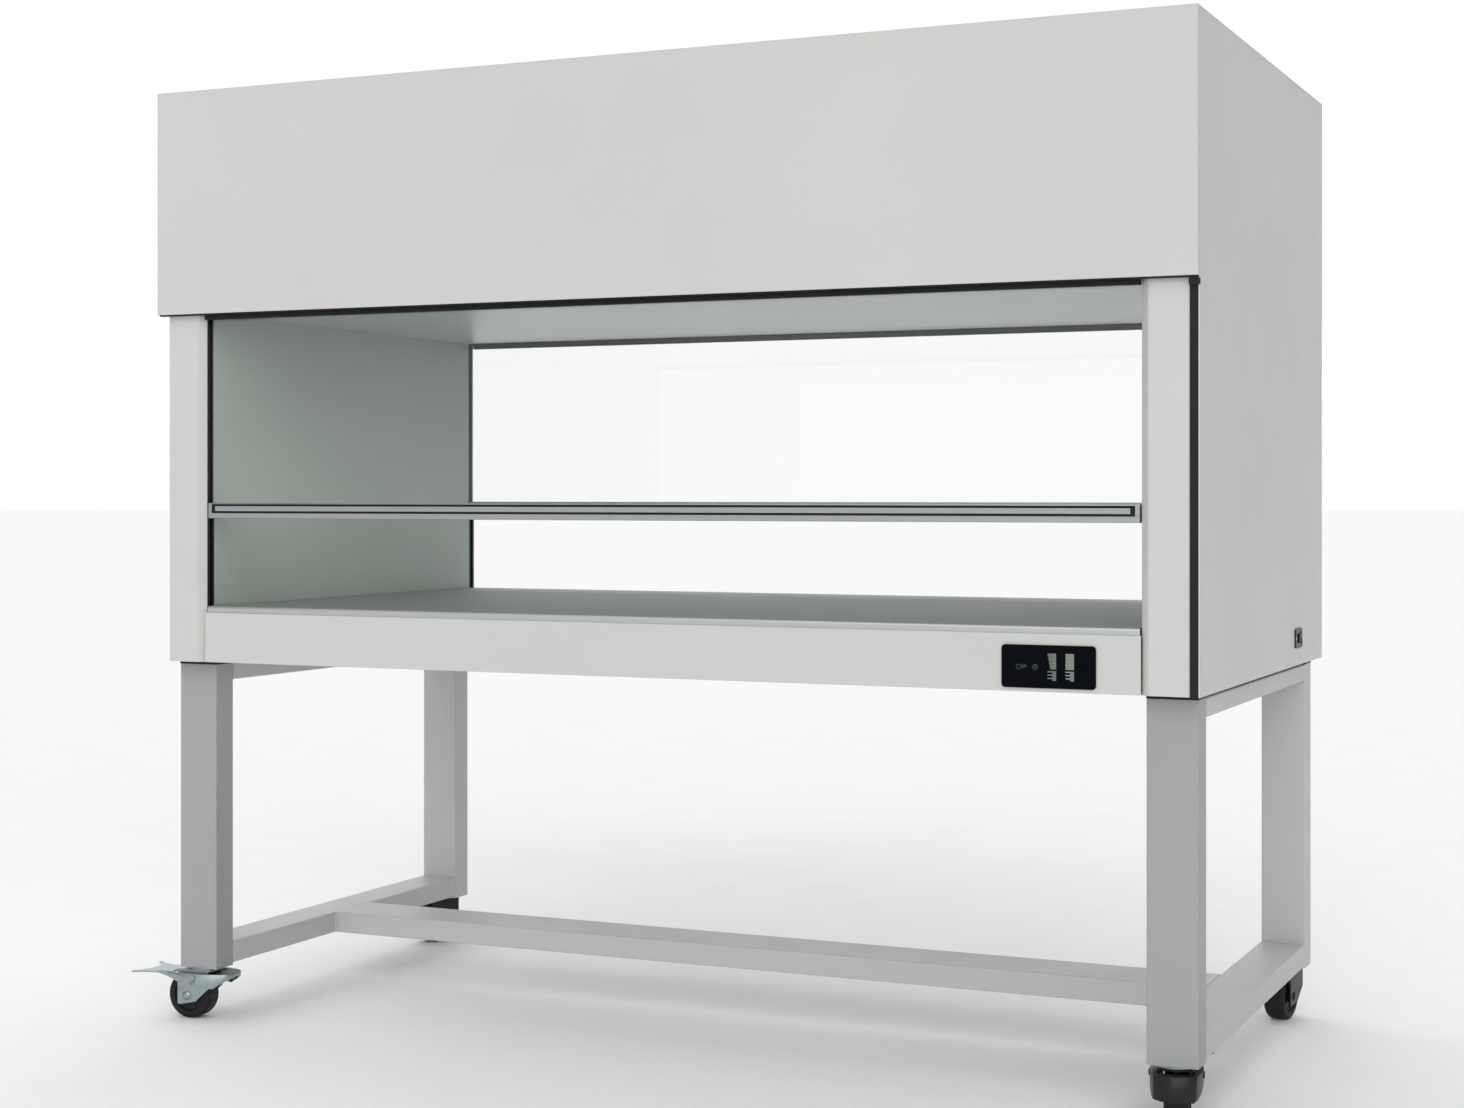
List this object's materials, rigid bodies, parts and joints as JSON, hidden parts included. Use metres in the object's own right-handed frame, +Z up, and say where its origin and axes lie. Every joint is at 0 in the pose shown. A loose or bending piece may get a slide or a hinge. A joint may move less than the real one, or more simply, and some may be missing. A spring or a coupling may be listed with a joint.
{
  "type": "laminar flow clean bench",
  "caption": "Double-sided laminar-flow clean bench: fan-filter hood over an open stainless work chamber with sliding glass sashes, on a castered tube stand.",
  "frame": {"origin": "on the floor, under the middle of the bench", "axes": "+X to the front operator's right along the bench, -Y towards the front operator, +Z up"},
  "size_m": [1.9855, 0.99, 1.684],
  "materials": {
    "white_coat": "warm light-grey powder coat, fine satin texture",
    "stand_coat": "light-grey powder coat, satin",
    "liner_coat": "pale grey-green enamel, semi-matt",
    "diffuser_coat": "pale blue-grey enamel, perforated",
    "stainless": "polished stainless steel with fine brushing",
    "galvanised": "zinc-coated sheet, dull",
    "zinc": "bright zinc plate",
    "black_fork": "black stove enamel",
    "bright_steel": "ground steel",
    "aluminium": "satin anodised",
    "black_rubber": "black extruded rubber",
    "black_guide": "black plastic channel",
    "black_tyre": "black solid tyre on a moulded hub",
    "sash_glass": "clear toughened glass, faint green edge",
    "lamp_opal": "opal light cover",
    "filter_card": "pleated synthetic filter card",
    "filter_paper": "pleated glass-fibre paper",
    "fan_plastic": "glass-filled nylon",
    "cast_weight": "black-painted cast iron",
    "panel_gloss": "black glass-faced touch panel",
    "black_plastic": "black moulded plastic"
  },
  "bodies": {
    "cabinet": {"leg_front_left": "stand_coat", "leg_front_right": "stand_coat", "leg_rear_left": "stand_coat", "leg_rear_right": "stand_coat", "top_rail_left": "stand_coat", "bottom_rail_left": "stand_coat", "top_rail_right": "stand_coat", "bottom_rail_right": "stand_coat", "stretcher": "stand_coat", "caster_mounts": "zinc", "base_tray": "galvanised", "worktop": "stainless", "hood_top": "white_coat", "edge_seals": "black_rubber", "sash_guides": "black_guide", "side_panel_left": "white_coat", "inner_wall_left": "liner_coat", "side_panel_right": "white_coat", "inner_wall_right": "liner_coat", "base_panel_front": "white_coat", "hood_front": "white_coat", "base_panel_rear": "white_coat", "hood_rear": "white_coat", "column_front_left": "white_coat", "column_front_right": "white_coat", "column_rear_left": "white_coat", "column_rear_right": "white_coat", "intake_grilles": "white_coat", "prefilters": "filter_card", "plenum": "galvanised", "filter_frame": "aluminium", "filter_media": "filter_paper", "diffuser": "diffuser_coat", "ceiling_lamps": "lamp_opal", "control_panel": "panel_gloss", "controller": "galvanised", "power_inlet": "black_plastic"},
    "front_sash": {"sash_glass_front": "sash_glass", "sash_rail_front": "aluminium", "sash_hangers_front": "zinc"},
    "front_weights": {"counterweights_front": "cast_weight"},
    "front_shaft": {"balance_shaft_front": "bright_steel"},
    "rear_sash": {"sash_glass_rear": "sash_glass", "sash_rail_rear": "aluminium", "sash_hangers_rear": "zinc"},
    "rear_weights": {"counterweights_rear": "cast_weight"},
    "rear_shaft": {"balance_shaft_rear": "bright_steel"},
    "swivel_front_left": {"caster_fork_front_left": "zinc"},
    "wheel_front_left": {"caster_wheel_front_left": "black_tyre"},
    "pedal_front_left": {"brake_pedal_front_left": "zinc"},
    "swivel_front_right": {"caster_fork_front_right": "black_fork"},
    "wheel_front_right": {"caster_wheel_front_right": "black_tyre"},
    "pedal_front_right": {"brake_pedal_front_right": "black_fork"},
    "swivel_rear_left": {"caster_fork_rear_left": "black_fork"},
    "wheel_rear_left": {"caster_wheel_rear_left": "black_tyre"},
    "swivel_rear_right": {"caster_fork_rear_right": "black_fork"},
    "wheel_rear_right": {"caster_wheel_rear_right": "black_tyre"},
    "fan_left": {"impeller_left": "fan_plastic"},
    "fan_right": {"impeller_right": "fan_plastic"},
    "rocker": {"power_switch": "black_plastic"}
  },
  "joints": [
    {"name": "front_sash_slide", "type": "slide", "parent": "cabinet", "child": "front_sash", "axis": [0, 0, 1], "range_m": [-0.157, 0.17]},
    {"name": "front_weights_slide", "type": "slide", "parent": "cabinet", "child": "front_weights", "axis": [0, 0, 1], "range_m": [-0.171, 0.158]},
    {"name": "front_shaft_turn", "type": "hinge", "parent": "cabinet", "child": "front_shaft", "pos_m": [0, -0.4365, 1.625], "axis": [1, 0, 0], "range_deg": [-465, 430]},
    {"name": "rear_sash_slide", "type": "slide", "parent": "cabinet", "child": "rear_sash", "axis": [0, 0, 1], "range_m": [-0.157, 0.17]},
    {"name": "rear_weights_slide", "type": "slide", "parent": "cabinet", "child": "rear_weights", "axis": [0, 0, 1], "range_m": [-0.171, 0.158]},
    {"name": "rear_shaft_turn", "type": "hinge", "parent": "cabinet", "child": "rear_shaft", "pos_m": [0, 0.4365, 1.625], "axis": [1, 0, 0], "range_deg": [-430, 465]},
    {"name": "swivel_front_left", "type": "hinge", "parent": "cabinet", "child": "swivel_front_left", "pos_m": [-0.899, -0.417, 0.088], "axis": [0, 0, 1], "continuous": true},
    {"name": "wheel_spin_front_left", "type": "hinge", "parent": "swivel_front_left", "child": "wheel_front_left", "pos_m": [-0.9259, -0.41935, 0.043], "axis": [0.0872, -0.9962, 0], "continuous": true},
    {"name": "brake_front_left", "type": "hinge", "parent": "swivel_front_left", "child": "pedal_front_left", "pos_m": [-0.90498, -0.41752, 0.079], "axis": [0.0872, -0.9962, 0], "range_deg": [0, 6]},
    {"name": "swivel_front_right", "type": "hinge", "parent": "cabinet", "child": "swivel_front_right", "pos_m": [0.899, -0.417, 0.088], "axis": [0, 0, 1], "continuous": true},
    {"name": "wheel_spin_front_right", "type": "hinge", "parent": "swivel_front_right", "child": "wheel_front_right", "pos_m": [0.89431, -0.39041, 0.043], "axis": [-0.9848, -0.1736, 0], "continuous": true},
    {"name": "brake_front_right", "type": "hinge", "parent": "swivel_front_right", "child": "pedal_front_right", "pos_m": [0.89796, -0.41109, 0.079], "axis": [-0.9848, -0.1736, 0], "range_deg": [0, 6]},
    {"name": "swivel_rear_left", "type": "hinge", "parent": "cabinet", "child": "swivel_rear_left", "pos_m": [-0.899, 0.417, 0.088], "axis": [0, 0, 1], "continuous": true},
    {"name": "wheel_spin_rear_left", "type": "hinge", "parent": "swivel_rear_left", "child": "wheel_rear_left", "pos_m": [-0.91126, 0.39294, 0.043], "axis": [0.891, -0.454, 0], "continuous": true},
    {"name": "swivel_rear_right", "type": "hinge", "parent": "cabinet", "child": "swivel_rear_right", "pos_m": [0.899, 0.417, 0.088], "axis": [0, 0, 1], "continuous": true},
    {"name": "wheel_spin_rear_right", "type": "hinge", "parent": "swivel_rear_right", "child": "wheel_rear_right", "pos_m": [0.89478, 0.39033, 0.043], "axis": [0.9877, -0.1564, 0], "continuous": true},
    {"name": "fan_spin_left", "type": "hinge", "parent": "cabinet", "child": "fan_left", "pos_m": [-0.43, 0, 1.5], "axis": [0, 0, 1], "continuous": true},
    {"name": "fan_spin_right", "type": "hinge", "parent": "cabinet", "child": "fan_right", "pos_m": [0.43, 0, 1.5], "axis": [0, 0, 1], "continuous": true},
    {"name": "power_rocker", "type": "hinge", "parent": "cabinet", "child": "rocker", "pos_m": [0.946, 0.262, 0.704], "axis": [0, 1, 0], "range_deg": [-14, 0]}
  ],
  "couplings": [
    {"joint": "front_weights_slide", "follows": "front_sash_slide", "ratio": -1},
    {"joint": "front_shaft_turn", "follows": "front_sash_slide", "rad_per_m": -47.619},
    {"joint": "rear_weights_slide", "follows": "rear_sash_slide", "ratio": -1},
    {"joint": "rear_shaft_turn", "follows": "rear_sash_slide", "rad_per_m": 47.619}
  ]
}
